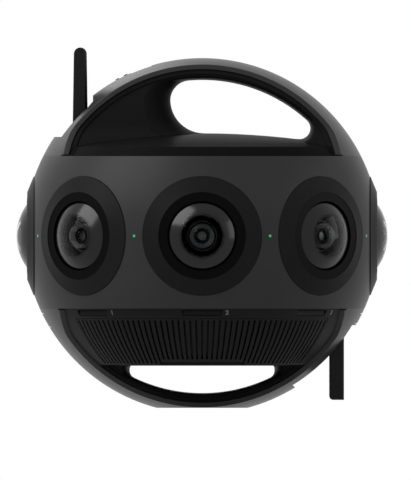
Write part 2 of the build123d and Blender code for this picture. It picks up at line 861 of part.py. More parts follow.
# Card slot covers: one standard cover, tapered toward its lower edge, hung at its top edge
cover_face_distance = math.sqrt(panel_radius**2 - (card_cover_drop + card_cover_height) ** 2)
cover_outer = cover_face_distance - card_cover_recess
cover_bottom = -card_cover_drop - card_cover_height


# Upright block over a card slot in front of the ball's centre
def cardBlock(gap, inner, outer):
    half = card_cover_width / 2 + gap
    with BuildPart() as block:
        with BuildSketch(lensPlane(0).offset(inner)):
            with BuildLine():
                Polyline(
                    (-half, -card_cover_drop + gap),
                    (half, -card_cover_drop + gap),
                    (half - card_cover_taper, cover_bottom - gap),
                    (-half + card_cover_taper, cover_bottom - gap),
                    close=True,
                )
            make_face()
        extrude(amount=outer - inner)
    return block.part


card_cover = cardBlock(0, cover_outer - card_cover_thickness, cover_outer)
card_pocket = cardBlock(card_cover_gap, cover_outer - card_pocket_depth, reach)

# Finned panel: one slot cutter in the front meridian plane, turned round the upright axis
meridian_plane = Plane(ball_centre, x_dir=(0, -1, 0), z_dir=(-1, 0, 0))
fin_half_sweep = math.degrees(
    math.acos((ring_foot_half_width + fin_side_margin) / heightAt(panel_radius, fin_top_drop)[0])
)


def finSlot(top_drop, bottom_drop, width, depth):
    high = heightAt(panel_radius, -top_drop)
    low = heightAt(panel_radius, -bottom_drop)
    middle = arcMiddle(high, low, panel_radius)
    with BuildPart() as slot:
        with BuildSketch(meridian_plane):
            with BuildLine():
                Polyline(
                    (high[0] - depth, -top_drop),
                    (high[0] + cut_overrun, -top_drop),
                    (high[0] + cut_overrun, -bottom_drop),
                    (low[0] - depth, -bottom_drop),
                )
                ThreePointArc(
                    (low[0] - depth, -bottom_drop),
                    (middle[0] - depth, middle[1]),
                    (high[0] - depth, -top_drop),
                )
            make_face()
        extrude(amount=width / 2, both=True)
    return slot.part


# Shallow groove that frames the fins above and at both ends
frame_top_drop = fin_top_drop - frame_groove_margin
frame_half_sweep = fin_half_sweep * (1 + 1 / fin_count)
frame_top = heightAt(panel_radius, -frame_top_drop)
with BuildPart() as frame_groove:
    with BuildSketch(meridian_plane):
        with Locations((frame_top[0] - frame_groove_depth, -frame_top_drop)):
            Rectangle(cut_overrun, frame_groove_width, align=(Align.MIN, Align.MAX))
    revolve(axis=upright, revolution_arc=frame_half_sweep)
    mirror(about=side_plane)
    frame_end = finSlot(frame_top_drop, fin_bottom_drop, frame_groove_width, frame_groove_depth)
    for end in (-1, 1):
        add(frame_end.rotate(upright, end * frame_half_sweep))

# Recess under the short middle slots, which leaves a chin with slanted ends
chin_top = -panel_bottom_drop + chin_height
chin_half_top = chin_half_width - chin_height * chin_end_slope
chin_distance = heightAt(panel_radius, -panel_bottom_drop)[0] - chin_depth
with BuildPart() as chin_recess:
    with BuildSketch(front_plane):
        Polygon(
            (-chin_half_width, -panel_bottom_drop - cut_overrun),
            (-chin_half_width, -panel_bottom_drop),
            (-chin_half_top, chin_top),
            (chin_half_top, chin_top),
            (chin_half_width, -panel_bottom_drop),
            (chin_half_width, -panel_bottom_drop - cut_overrun),
            align=None,
        )
    extrude(amount=reach)
    with BuildSketch(level_plane.offset(-panel_bottom_drop - 2 * cut_overrun)):
        Circle(chin_distance)
    extrude(amount=body_floor_drop, mode=Mode.SUBTRACT)


with BuildPart() as panel_front:
    add(ballZone(panel_radius, -panel_bottom_drop, -band_bottom_drop))
    add(
        ballZone(panel_radius - panel_wall, -panel_bottom_drop - cut_overrun, cut_overrun),
        mode=Mode.SUBTRACT,
    )
    add(ringBlock(band_bottom_drop, -1, -parting_gap), mode=Mode.SUBTRACT)
    split(bisect_by=front_plane, keep=Keep.TOP)
    for index in range(fin_count):
        sweep_angle = fin_half_sweep * (2 * index / (fin_count - 1) - 1)
        short = abs(sweep_angle) < fin_short_half_sweep
        bottom_drop = fin_short_bottom_drop if short else fin_bottom_drop
        cutter = finSlot(fin_top_drop, bottom_drop, fin_slot_width, fin_slot_depth)
        add(cutter.rotate(upright, sweep_angle), mode=Mode.SUBTRACT)
    add(frame_groove.part, mode=Mode.SUBTRACT)
    add(chin_recess.part, mode=Mode.SUBTRACT)
    for index in range(card_slot_count):
        turn = (index - (card_slot_count - 1) / 2) * lens_step_angle
        add(card_pocket.rotate(upright, turn), mode=Mode.SUBTRACT)
save(panel_front.part, "fin_panel_front")
save(panel_front.part.rotate(upright, full_turn / 2), "fin_panel_rear")

for index in range(2 * card_slot_count):
    on_front = index < card_slot_count
    place = index % card_slot_count
    half_turn = 0 if on_front else full_turn / 2
    turn = (place - (card_slot_count - 1) / 2) * lens_step_angle + half_turn
    save(card_cover.rotate(upright, turn), f"card_cover_{index + 1}")

# Lens pieces, drawn standing on the ball's centre along +Z
bezel_rim_distance = bezel_seat_distance + bezel_rim_height
bezel_shoulder_distance = bezel_rim_distance + bezel_cone_height
bezel_face_distance = bezel_shoulder_distance + bezel_face_height
with BuildPart() as bezel:
    with BuildSketch(Plane.XZ) as bezel_profile:
        with BuildLine():
            Polyline(
                (bezel_bore_radius, bezel_seat_distance),
                (bezel_radius, bezel_seat_distance),
                (bezel_radius, bezel_rim_distance),
                (bezel_shoulder_radius, bezel_shoulder_distance),
                (bezel_shoulder_radius, bezel_shoulder_distance - bezel_step),
                (bezel_bore_radius, bezel_face_distance - bezel_step),
                close=True,
            )
        make_face()
        rim_corner = bezel_profile.vertices().group_by(Axis.X)[-1].sort_by(Axis.Y)[-1]
        fillet(rim_corner, bezel_rim_fillet)
    revolve(axis=Axis.Z)

glass_radius = bezel_bore_radius - glass_side_gap
glass_hollow_radius = glass_radius * glass_hollow_share
glass_seat_distance = bezel_seat_distance + glass_seat_height
glass_edge_distance = glass_seat_distance + glass_edge_height
glass_apex_distance = glass_edge_distance + glass_radius * glass_dome_share
inner_glass_radius = glass_hollow_radius * inner_glass_share
inner_glass_distance = bezel_seat_distance + inner_glass_height
baffle_ring_radius = inner_glass_radius * baffle_share
pupil_radius = baffle_ring_radius * pupil_share
barrel_lip_radius = bezel_bore_radius - barrel_lip_gap
barrel_lip_distance = bezel_seat_distance + barrel_lip_height
barrel_tube_radius = glass_radius - barrel_tube_inset
barrel_rear_radius = barrel_tube_radius - barrel_rear_inset
barrel_rear_step_distance = barrel_end_distance + barrel_rear_length
barrel_bore_radius = barrel_rear_radius * barrel_bore_share
flange_rear = bezel_seat_distance - skin_gap - barrel_flange_thickness
inner_seat_distance = inner_glass_distance - inner_seat_depth
baffle_distance = inner_seat_distance - baffle_ring_depth
with BuildPart() as barrel:
    with BuildSketch(Plane.XZ):
        with BuildLine():
            Polyline(
                (barrel_lip_radius, barrel_lip_distance),
                (barrel_lip_radius, bezel_seat_distance - skin_gap),
                (barrel_flange_radius, bezel_seat_distance - skin_gap),
                (barrel_flange_radius, flange_rear),
                (barrel_tube_radius, flange_rear),
                (barrel_tube_radius, barrel_rear_step_distance),
                (barrel_rear_radius, barrel_rear_step_distance),
                (barrel_rear_radius, barrel_end_distance),
                (barrel_bore_radius, barrel_end_distance),
                (barrel_bore_radius, baffle_distance - pupil_depth),
                (pupil_radius, baffle_distance - pupil_depth),
                (pupil_radius, baffle_distance),
                (baffle_ring_radius, baffle_distance),
                (baffle_ring_radius, inner_seat_distance),
                (inner_glass_radius + glass_fit_gap, inner_seat_distance),
                (inner_glass_radius + glass_fit_gap, inner_glass_distance),
                (glass_hollow_radius, inner_glass_distance),
                (glass_hollow_radius, glass_seat_distance),
                (glass_radius + glass_fit_gap, glass_seat_distance),
                (glass_radius + glass_fit_gap, barrel_lip_distance),
                close=True,
            )
        make_face()
    revolve(axis=Axis.Z)


# Radius of the sphere through a rim and an apex
def capRadius(rim_radius, rise):
    return (rim_radius**2 + rise**2) / (2 * rise)


dome = capRadius(glass_radius, glass_apex_distance - glass_edge_distance)
hollow_apex = glass_apex_distance - glass_centre_thickness
hollow = capRadius(glass_hollow_radius, hollow_apex - glass_seat_distance)
with BuildPart() as front_glass:
    with BuildSketch(Plane.XZ):
        with BuildLine():
            RadiusArc((0, glass_apex_distance), (glass_radius, glass_edge_distance), dome)
            Polyline(
                (glass_radius, glass_edge_distance),
                (glass_radius, glass_seat_distance),
                (glass_hollow_radius, glass_seat_distance),
            )
            RadiusArc((glass_hollow_radius, glass_seat_distance), (0, hollow_apex), -hollow)
            Line((0, hollow_apex), (0, glass_apex_distance))
        make_face()
    revolve(axis=Axis.Z)

bulge = capRadius(inner_glass_radius, inner_glass_bulge)
inner_top = inner_seat_distance + inner_glass_thickness
with BuildPart() as inner_glass:
    with BuildSketch(Plane.XZ):
        with BuildLine():
            RadiusArc((0, inner_top), (inner_glass_radius, inner_top - inner_glass_bulge), bulge)
            Polyline(
                (inner_glass_radius, inner_top - inner_glass_bulge),
                (inner_glass_radius, inner_seat_distance),
                (0, inner_seat_distance),
                (0, inner_top),
            )
        make_face()
    revolve(axis=Axis.Z)

with BuildPart() as sensor:
    with BuildSketch(Plane.XY.offset(barrel_end_distance)):
        Rectangle(sensor_width, sensor_width)
    extrude(amount=-sensor_thickness)

with BuildPart() as light_pipe:
    with BuildSketch(Plane.XY.offset(ball_radius)):
        Circle(light_pipe_radius)
    extrude(amount=-light_pipe_length)

inner_glasses = []
sensors = []
light_pipes = []
for index in range(lens_count):
    place = lensPlane(index * lens_step_angle).location
    save(place * bezel.part, f"lens_bezel_{index + 1}")
    save(place * barrel.part, f"lens_barrel_{index + 1}")
    save(place * front_glass.part, f"lens_front_glass_{index + 1}")
    inner_glasses.append(place * inner_glass.part)
    sensors.append(place * sensor.part)
    light_pipes.append(lensPlane((index + 1 / 2) * lens_step_angle).location * light_pipe.part)
save(Compound(children=inner_glasses), "lens_inner_glasses")
save(Compound(children=sensors), "image_sensor_boards")
save(Compound(children=light_pipes), "status_light_pipes")

# Core frame: octagonal tube with a ledge for the main board and one for the fan
with BuildPart() as core_frame:
    with BuildSketch(level_plane.offset(-band_bottom_drop)):
        RegularPolygon(core_apothem, lens_count, major_radius=False, rotation=lens_step_angle / 2)
        RegularPolygon(
            core_bore,
            lens_count,
            major_radius=False,
            rotation=lens_step_angle / 2,
            mode=Mode.SUBTRACT,
        )
    extrude(amount=band_bottom_drop + band_top_rise)
    for ledge_level in (board_ledge_rise, -fan_ledge_drop):
        with BuildSketch(level_plane.offset(ledge_level)):
            Circle(core_bore + core_wall / 2)
            Circle(core_bore - ledge_inset, mode=Mode.SUBTRACT)
        extrude(amount=-ledge_thickness)
save(core_frame.part, "core_frame")

# Main board with its processor and memory chips
with BuildPart() as main_board:
    with BuildSketch(level_plane.offset(board_ledge_rise)):
        Circle(board_radius)
    extrude(amount=board_thickness)
    with BuildSketch(level_plane.offset(board_ledge_rise + board_thickness)):
        Rectangle(chip_width, chip_width)
    extrude(amount=chip_thickness)
    with BuildSketch(level_plane.offset(board_ledge_rise + board_thickness)):
        with PolarLocations(memory_reach, memory_count):
            Rectangle(memory_width, memory_width)
    extrude(amount=memory_thickness)
save(main_board.part, "main_board")

# Fan housing with its arms and shaft
fan_base = -fan_ledge_drop
with BuildPart() as fan_housing:
    with BuildSketch(level_plane.offset(fan_base)):
        Circle(fan_outer_radius)
        Circle(fan_bore_radius, mode=Mode.SUBTRACT)
    extrude(amount=fan_height)
    with BuildSketch(level_plane.offset(fan_base)):
        Circle(fan_hub_radius)
        with PolarLocations(0, fan_arm_count):
            Rectangle(
                (fan_outer_radius + fan_bore_radius) / 2,
                fan_arm_width,
                align=(Align.MIN, Align.CENTER),
            )
    extrude(amount=fan_floor)
    with BuildSketch(level_plane.offset(fan_base)):
        Circle(fan_shaft_radius)
    extrude(amount=fan_floor + fan_float_gap + fan_hub_height)
save(fan_housing.part, "fan_housing")

# Fan rotor: hub with pitched blades
rotor_base = fan_base + fan_floor + fan_float_gap
blade_length = fan_bore_radius - fan_tip_gap - fan_hub_radius / 2
blade_middle = rotor_base + fan_hub_height / 2
blade_plane = Plane(
    (fan_hub_radius / 2, 0, base_drop + blade_middle), x_dir=(0, 1, 0), z_dir=(1, 0, 0)
).rotated((0, 0, fan_blade_pitch))
with BuildPart() as blade:
    with BuildSketch(blade_plane):
        Rectangle(fan_blade_thickness, fan_blade_height)
    extrude(amount=blade_length)
with BuildPart() as fan_rotor:
    with BuildSketch(level_plane.offset(rotor_base)):
        Circle(fan_hub_radius)
    extrude(amount=fan_hub_height)
    for index in range(fan_blade_count):
        add(blade.part.rotate(upright, index * full_turn / fan_blade_count))
    with BuildSketch(level_plane.offset(rotor_base)):
        Circle(fan_shaft_radius + fan_shaft_fit)
    extrude(amount=fan_hub_height, mode=Mode.SUBTRACT)
save(fan_rotor.part, "fan_rotor")

# Upper antenna: a flat blade that narrows upward to a round tip
upper_pin_plane = Plane(
    (upper_pin_x, 0, base_drop + upper_pin_rise), x_dir=(1, 0, 0), z_dir=(0, -1, 0)
)
with BuildPart() as antenna_upper:
    with BuildSketch(upper_pin_plane) as blade_outline:
        Circle(upper_root_width / 2)
        with BuildLine():
            Polyline(
                (-upper_root_width / 2, 0),
                (upper_root_width / 2, 0),
                (upper_tip_width / 2, upper_length - upper_tip_width / 2),
                (-upper_tip_width / 2, upper_length - upper_tip_width / 2),
                close=True,
            )
        make_face()
        with Locations((0, upper_length - upper_tip_width / 2)):
            Circle(upper_tip_width / 2)
    extrude(amount=upper_half_span, both=True)
    with BuildSketch(upper_pin_plane):
        Circle(hinge_pin_radius + hinge_pin_fit)
    extrude(amount=reach, both=True, mode=Mode.SUBTRACT)
    for side in (-1, 1):
        face_y = side * upper_half_span
        facet_corner = (upper_pin_x + upper_root_width / 2, face_y, upper_pin_plane.origin.Z)
        with BuildSketch(Plane(facet_corner)):
            Polygon(
                (-upper_facet_width, 0),
                (-upper_facet_width, side * cut_overrun),
                (cut_overrun, side * cut_overrun),
                (cut_overrun, -side * upper_facet_depth),
                (0, -side * upper_facet_depth),
                align=None,
            )
        extrude(amount=upper_length, mode=Mode.SUBTRACT)
save(antenna_upper.part, "antenna_upper")

# Lower antenna: a flat blade with a narrower root between the bracket's ears
lower_pin_plane = Plane(
    (lower_pin_x, 0, base_drop - lower_pin_drop), x_dir=(1, 0, 0), z_dir=(0, -1, 0)
)
shoulder_drop = hinge_ear_radius + hinge_ear_gap
with BuildPart() as antenna_lower:
    with BuildSketch(lower_pin_plane) as root_outline:
        Circle(lower_width / 2)
        Rectangle(lower_width, 2 * shoulder_drop, align=(Align.CENTER, Align.MAX))
    extrude(amount=lower_root_half_span, both=True)
    with BuildSketch(lower_pin_plane.offset(-lower_half_span)) as body_outline:
        with Locations((0, -shoulder_drop)):
            Rectangle(
                lower_width, lower_length - shoulder_drop, align=(Align.CENTER, Align.MAX)
            )
        fillet(body_outline.vertices().group_by(Axis.Y)[0].sort_by(Axis.X)[0], lower_tip_fillet)
    extrude(amount=2 * lower_half_span)
    body_edges = antenna_lower.edges().filter_by(Axis.Z).filter_by_position(
        Axis.Z, 0, lower_pin_plane.origin.Z - shoulder_drop
    )
    chamfer(body_edges, lower_facet)
    with BuildSketch(lower_pin_plane):
        Circle(hinge_pin_radius + hinge_pin_fit)
    extrude(amount=reach, both=True, mode=Mode.SUBTRACT)
save(antenna_lower.part, "antenna_lower")


# Pair of hinge ears that reach from the pin to a foot in the pocket
def hingeEars(plane, foot, inner_half_span):
    with BuildPart() as ears:
        for side in (-1, 1):
            near = plane.offset(side * inner_half_span)
            with BuildSketch(near):
                Circle(hinge_ear_radius)
                with BuildLine():
                    Polyline(*foot, close=True)
                make_face()
                Circle(hinge_pin_radius, mode=Mode.SUBTRACT)
            extrude(amount=side * hinge_ear_thickness)
    return ears.part


upper_foot_level = upper_notch_ledge_rise - upper_pin_rise
upper_foot = [
    (-hinge_ear_radius, 0),
    (-hinge_ear_radius, upper_foot_level),
    (upper_notch_wall_x - upper_pin_x, upper_foot_level),
    (upper_notch_wall_x - upper_pin_x, 0),
]
floor_offset = lower_width / 2 + lower_pocket_gap
foot_inner = -fold_out * floor_offset
foot_top = foot_inner + fold_along * ledge_steps
foot_low = foot_inner + fold_along * hinge_ear_radius
foot_far = fold_along * hinge_ear_radius
lower_foot = [
    (0, 0),
    (foot_top.X, foot_top.Y),
    (foot_low.X, foot_low.Y),
    (foot_far.X, foot_far.Y),
]
upper_ears = hingeEars(upper_pin_plane, upper_foot, upper_half_span + hinge_ear_gap)
lower_ears = hingeEars(lower_pin_plane, lower_foot, lower_root_half_span + hinge_ear_gap)
save(Compound(children=list(upper_ears.solids()) + list(lower_ears.solids())), "antenna_brackets")

# Hinge pins
pins = []
for plane, half_length in (
    (upper_pin_plane, upper_half_span + hinge_ear_gap + hinge_ear_thickness),
    (lower_pin_plane, lower_root_half_span + hinge_ear_gap + hinge_ear_thickness),
):
    with BuildPart() as pin:
        with BuildSketch(plane):
            Circle(hinge_pin_radius)
        extrude(amount=half_length, both=True)
    pins.append(pin.part)
save(Compound(children=pins), "antenna_hinge_pins")

# Tripod socket
with BuildPart() as tripod_socket:
    with BuildSketch(Plane.XY):
        Circle(socket_flange_radius)
    extrude(amount=socket_flange_thickness - skin_gap)
    with BuildSketch(Plane.XY):
        Circle(socket_radius)
    extrude(amount=socket_height)
    with BuildSketch(Plane.XY):
        Circle(socket_thread_radius)
    extrude(amount=socket_thread_depth, mode=Mode.SUBTRACT)
save(tripod_socket.part, "tripod_socket")

# Base screws, heads just inside the base flat
with BuildPart() as base_screws:
    with BuildSketch(Plane.XY.offset(screw_fit_gap)):
        with base_screw_places:
            Circle(screw_head_radius)
    extrude(amount=screw_head_height - screw_fit_gap)
    with BuildSketch(Plane.XY.offset(screw_fit_gap)):
        with base_screw_places:
            Circle(screw_shank_radius)
    extrude(amount=screw_length - screw_fit_gap)
    with BuildSketch(Plane.XY):
        with base_screw_places:
            RegularPolygon(screw_drive_radius, screw_drive_sides)
    extrude(amount=screw_drive_depth, mode=Mode.SUBTRACT)
save(base_screws.part, "base_screws")
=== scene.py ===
import math

import bmesh
import bpy
from mathutils import Matrix, Vector


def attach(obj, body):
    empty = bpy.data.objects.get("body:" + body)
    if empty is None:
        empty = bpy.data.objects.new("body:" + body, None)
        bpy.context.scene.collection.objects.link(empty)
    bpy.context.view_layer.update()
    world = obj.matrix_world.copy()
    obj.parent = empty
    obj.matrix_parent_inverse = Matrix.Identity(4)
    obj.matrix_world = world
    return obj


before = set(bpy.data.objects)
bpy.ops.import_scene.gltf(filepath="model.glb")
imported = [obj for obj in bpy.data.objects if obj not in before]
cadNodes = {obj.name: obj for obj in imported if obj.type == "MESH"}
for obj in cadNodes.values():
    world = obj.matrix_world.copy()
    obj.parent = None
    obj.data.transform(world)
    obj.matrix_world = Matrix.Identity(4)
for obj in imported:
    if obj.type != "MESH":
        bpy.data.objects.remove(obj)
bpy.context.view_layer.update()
ballCentre = Vector((0, 0, 0.1102))
lensCount = 8
cardCount = 6


# One shader node: plain settings first, then what its sockets hold or are fed by
def addNode(tree, kind, settings=None, sockets=None):
    node = tree.nodes.new(kind)
    for name, value in (settings or {}).items():
        setattr(node, name, value)
    for name, value in (sockets or {}).items():
        if isinstance(value, bpy.types.NodeSocket):
            tree.links.new(value, node.inputs[name])
        else:
            node.inputs[name].default_value = value
    return node


# Empty material, and its place in metres from the ball's centre
def startMaterial(name):
    material = bpy.data.materials.new(name)
    material.use_nodes = True
    tree = material.node_tree
    tree.nodes.clear()
    output = addNode(tree, "ShaderNodeOutputMaterial")
    place = addNode(tree, "ShaderNodeTexCoord")
    centred = addNode(
        tree,
        "ShaderNodeMapping",
        sockets={"Vector": place.outputs["Object"], "Location": -ballCentre},
    )
    return material, tree, output, centred.outputs["Vector"]


def noiseOf(tree, vector, scale, detail):
    texture = addNode(
        tree,
        "ShaderNodeTexNoise",
        sockets={"Vector": vector, "Scale": scale, "Detail": detail},
    )
    return texture.outputs["Fac"]


# Noise lies mostly between 0.3 and 0.7, so that span is the one taken unless told
def ranged(tree, value, low, high, fromLow=0.3, fromHigh=0.7):
    node = addNode(
        tree,
        "ShaderNodeMapRange",
        sockets={
            "Value": value,
            "From Min": fromLow,
            "From Max": fromHigh,
            "To Min": low,
            "To Max": high,
        },
    )
    return node.outputs["Result"]


# The mix node's colour sockets share their names with others, so they go by number
def blended(tree, amount, first, second):
    sockets = {0: amount, 6: first, 7: second}
    return addNode(tree, "ShaderNodeMix", {"data_type": "RGBA"}, sockets).outputs[2]


def mixedShader(tree, amount, first, second):
    return addNode(tree, "ShaderNodeMixShader", sockets={0: amount, 1: first, 2: second}).outputs[0]


def grey(value):
    return (value, value, value, 1)


def calc(tree, operation, first, second=None):
    sockets = {0: first} if second is None else {0: first, 1: second}
    return addNode(tree, "ShaderNodeMath", {"operation": operation}, sockets).outputs[0]


# Distance in metres from the nearest of the lens axes round the ball, and along that axis
def lensPolar(tree, vector):
    place = addNode(tree, "ShaderNodeSeparateXYZ", sockets={"Vector": vector})
    across, deep, up = (place.outputs[axis] for axis in "XYZ")
    step = math.tau / lensCount
    share = calc(tree, "DIVIDE", calc(tree, "ARCTAN2", across, deep), step)
    rest = calc(tree, "SUBTRACT", share, calc(tree, "ROUND", share))
    turn = calc(tree, "MULTIPLY", rest, step)
    acrossSquare = calc(tree, "POWER", across, 2.0)
    deepSquare = calc(tree, "POWER", deep, 2.0)
    flat = calc(tree, "SQRT", calc(tree, "ADD", acrossSquare, deepSquare))
    aside = calc(tree, "MULTIPLY", flat, calc(tree, "SINE", turn))
    along = calc(tree, "MULTIPLY", flat, calc(tree, "COSINE", turn))
    total = calc(tree, "ADD", calc(tree, "POWER", aside, 2.0), calc(tree, "POWER", up, 2.0))
    return calc(tree, "SQRT", total), along


# What all grained finishes share, unless one of them says otherwise
grain = {
    "detail": 3.0,
    "cloud": 0.08,
    "cloudScale": 18.0,
    "cloudDetail": 2.0,
    "speckle": 0.25,
    "speckleAmount": 0.6,
    "speckleFrom": 0.5,
    "speckleTo": 0.75,
    "roughSpread": 0.05,
    "metal": 0.0,
    "shine": 0.5,
    "edge": 0.0003,
    "edgeSamples": 6,
    "bump": 0.15,
    "bumpDepth": 0.00004,
}


# Painted, moulded or anodised finish: a fine grain in colour, gloss and relief,
# with softly rounded edges
def grainFinish(name, ownLook):
    look = {**grain, **ownLook}
    shade = look["shade"]
    material, tree, output, vector = startMaterial(name)
    fine = noiseOf(tree, vector, look["grainScale"], look["detail"])
    broad = noiseOf(tree, vector, look["cloudScale"], look["cloudDetail"])
    deep = grey(shade * (1 - look["cloud"]))
    pale = grey(shade * (1 + look["cloud"]))
    colour = blended(tree, ranged(tree, broad, 0.0, 1.0), deep, pale)
    speck = ranged(tree, fine, 0.0, look["speckleAmount"], look["speckleFrom"], look["speckleTo"])
    colour = blended(tree, speck, colour, grey(shade * (1 + look["speckle"])))
    if "innerShade" in look:  # darker cone inside the lens bezel's shoulder
        radius = lensPolar(tree, vector)[0]
        outside = ranged(tree, radius, 0.0, 1.0, look["innerRadius"], look["outerRadius"])
        colour = blended(tree, outside, grey(look["innerShade"]), colour)
    smoothest, roughest = look["rough"] - look["roughSpread"], look["rough"] + look["roughSpread"]
    sockets = {
        "Base Color": colour,
        "Roughness": ranged(tree, fine, smoothest, roughest),
        "Metallic": look["metal"],
        "Specular IOR Level": look["shine"],
    }
    if look["edge"] > 0:  # softly rounded edges under the grain's relief
        rounded = addNode(
            tree,
            "ShaderNodeBevel",
            {"samples": look["edgeSamples"]},
            {"Radius": look["edge"]},
        )
        relief = addNode(
            tree,
            "ShaderNodeBump",
            sockets={
                "Strength": look["bump"],
                "Distance": look["bumpDepth"],
                "Height": fine,
                "Normal": rounded.outputs["Normal"],
            },
        )
        sockets["Normal"] = relief.outputs["Normal"]
    shader = addNode(tree, "ShaderNodeBsdfPrincipled", sockets=sockets)
    tree.links.new(shader.outputs["BSDF"], output.inputs["Surface"])
    return material


finishes = {
    "ringPaint": {"shade": 0.024, "rough": 0.36, "grainScale": 5200, "shine": 0.12, "edge": 0.0004},
    "bandPaint": {"shade": 0.025, "rough": 0.38, "grainScale": 5200, "shine": 0.08, "edge": 0.0003},
    "deckPlastic": {
        "shade": 0.006, "rough": 0.40, "grainScale": 2600, "shine": 0.006, "edge": 0.0005,
    },
    "fairingPlastic": {
        "shade": 0.010, "rough": 0.34, "grainScale": 2600, "shine": 0.002, "edge": 0.0006,
    },
    "finAnodised": {
        "shade": 0.009, "rough": 0.45, "grainScale": 3000, "shine": 0.045, "edge": 0.0002,
    },
    "housingCasting": {
        "shade": 0.006, "rough": 0.5, "grainScale": 1500, "shine": 0.05, "edge": 0.0004,
    },
    "bezelBlack": {
        "shade": 0.009, "rough": 0.42, "grainScale": 3600, "shine": 0.035, "edge": 0.0002,
        "innerShade": 0.001, "innerRadius": 0.0279, "outerRadius": 0.0282,
    },
    "barrelMatte": {"shade": 0.002, "rough": 0.6, "grainScale": 3600, "shine": 0.0, "edge": 0.0},
    "irisBlack": {
        "shade": 0.015, "rough": 0.34, "grainScale": 3600, "shine": 0.12, "edge": 0.0001,
        "bump": 0.03,
    },
    "boreEdge": {
        "shade": 0.020, "rough": 0.40, "grainScale": 3600, "shine": 0.25, "edge": 0.00005,
        "bump": 0.03,
    },
    "antennaMoulding": {
        "shade": 0.006, "rough": 0.38, "grainScale": 2200, "shine": 0.10, "edge": 0.0004,
    },
    "bracketMoulding": {"shade": 0.006, "rough": 0.5, "grainScale": 2200, "shine": 0.08},
    "buttonPlastic": {"shade": 0.002, "rough": 0.3, "grainScale": 2600, "shine": 0.001},
    "paleMark": {
        "shade": 0.17, "rough": 0.6, "grainScale": 2600, "shine": 0.1, "edge": 0.00001,
        "bump": 0.0,
    },
    "socketSteel": {
        "shade": 0.45, "rough": 0.28, "grainScale": 2400, "metal": 1.0, "speckle": 0.05,
    },
    "screwSteel": {"shade": 0.10, "rough": 0.3, "grainScale": 2400, "metal": 1.0, "speckle": 0.05},
    "pinSteel": {"shade": 0.35, "rough": 0.25, "grainScale": 2400, "metal": 1.0, "speckle": 0.05},
    "boardMask": {"shade": 0.03, "rough": 0.35, "grainScale": 900, "shine": 0.5},
    "innerPlastic": {"shade": 0.02, "rough": 0.5, "grainScale": 1200, "shine": 0.4},
    "displayGlass": {
        "shade": 0.004, "rough": 0.06, "grainScale": 900, "shine": 0.2, "bump": 0.0,
        "roughSpread": 0.01,
    },
}
made = {name: grainFinish(name, look) for name, look in finishes.items()}

finishOfNode = {
    "ring_shell_upper": "ringPaint",
    "ring_shell_lower": "ringPaint",
    "side_cover_left": "ringPaint",
    "side_cover_right": "ringPaint",
    "band_housing_left": "bandPaint",
    "band_housing_right": "bandPaint",
    "top_deck": "deckPlastic",
    "handle_fairing_front": "fairingPlastic",
    "handle_fairing_rear": "fairingPlastic",
    "lower_fairing": "fairingPlastic",
    "fin_panel_front": "finAnodised",
    "fin_panel_rear": "finAnodised",
    "lower_housing": "housingCasting",
    "core_frame": "housingCasting",
    "antenna_upper": "antennaMoulding",
    "antenna_lower": "antennaMoulding",
    "antenna_brackets": "bracketMoulding",
    "antenna_hinge_pins": "pinSteel",
    "power_button": "buttonPlastic",
    "shutter_button": "buttonPlastic",
    "display_window": "displayGlass",
    "tripod_socket": "socketSteel",
    "base_screws": "screwSteel",
    "main_board": "boardMask",
    "image_sensor_boards": "boardMask",
    "battery_pack": "innerPlastic",
    "fan_housing": "innerPlastic",
    "fan_rotor": "innerPlastic",
    "lens_inner_glasses": "innerGlass",
    "status_light_pipes": "greenLight",
}
for label in range(1, lensCount + 1):
    finishOfNode[f"lens_bezel_{label}"] = "bezelBlack"
    finishOfNode[f"lens_barrel_{label}"] = "barrelMatte"
    finishOfNode[f"lens_front_glass_{label}"] = "frontGlass"
for label in range(1, cardCount + 1):
    finishOfNode[f"card_cover_{label}"] = "finAnodised"

blacking = {"shade": 0.002, "rough": 0.6, "shine": 0.0}


def blackSurface(tree, rough, shine):
    sockets = {
        "Base Color": grey(blacking["shade"]),
        "Roughness": rough,
        "Specular IOR Level": shine,
    }
    return addNode(tree, "ShaderNodeBsdfPrincipled", sockets=sockets).outputs[0]


# Lens glass with a black backing, and with its ground seat and rim blackened. The zone over
# its hollow, if it has one, is clear and coated, and lets lamp light through
def glassFinish(name, look):
    material, tree, output, vector = startMaterial(name)
    radius, along = lensPolar(tree, vector)
    surface = blackSurface(tree, look["backedRough"], look["backedShine"])
    if "zoneStart" in look:
        clear = addNode(
            tree,
            "ShaderNodeBsdfPrincipled",
            sockets={
                "Base Color": look["colour"],
                "Roughness": look["rough"],
                "IOR": look["bend"],
                "Specular Tint": look["coating"],
                "Transmission Weight": 1.0,
            },
        )
        lit = addNode(tree, "ShaderNodeBsdfTransparent", sockets={"Color": look["colour"]})
        shadowed = addNode(tree, "ShaderNodeLightPath").outputs["Is Shadow Ray"]
        hollow = mixedShader(tree, shadowed, clear.outputs[0], lit.outputs[0])
        zone = ranged(tree, radius, 0.0, 1.0, look["zoneStart"], look["zoneEnd"])
        surface = mixedShader(tree, zone, hollow, surface)
    seat = calc(tree, "LESS_THAN", along, look["groundHeight"])
    rim = calc(tree, "GREATER_THAN", radius, look["groundRadius"])
    ground = calc(tree, "MAXIMUM", seat, rim)
    black = blackSurface(tree, blacking["rough"], blacking["shine"])
    tree.links.new(mixedShader(tree, ground, surface, black), output.inputs["Surface"])
    return material


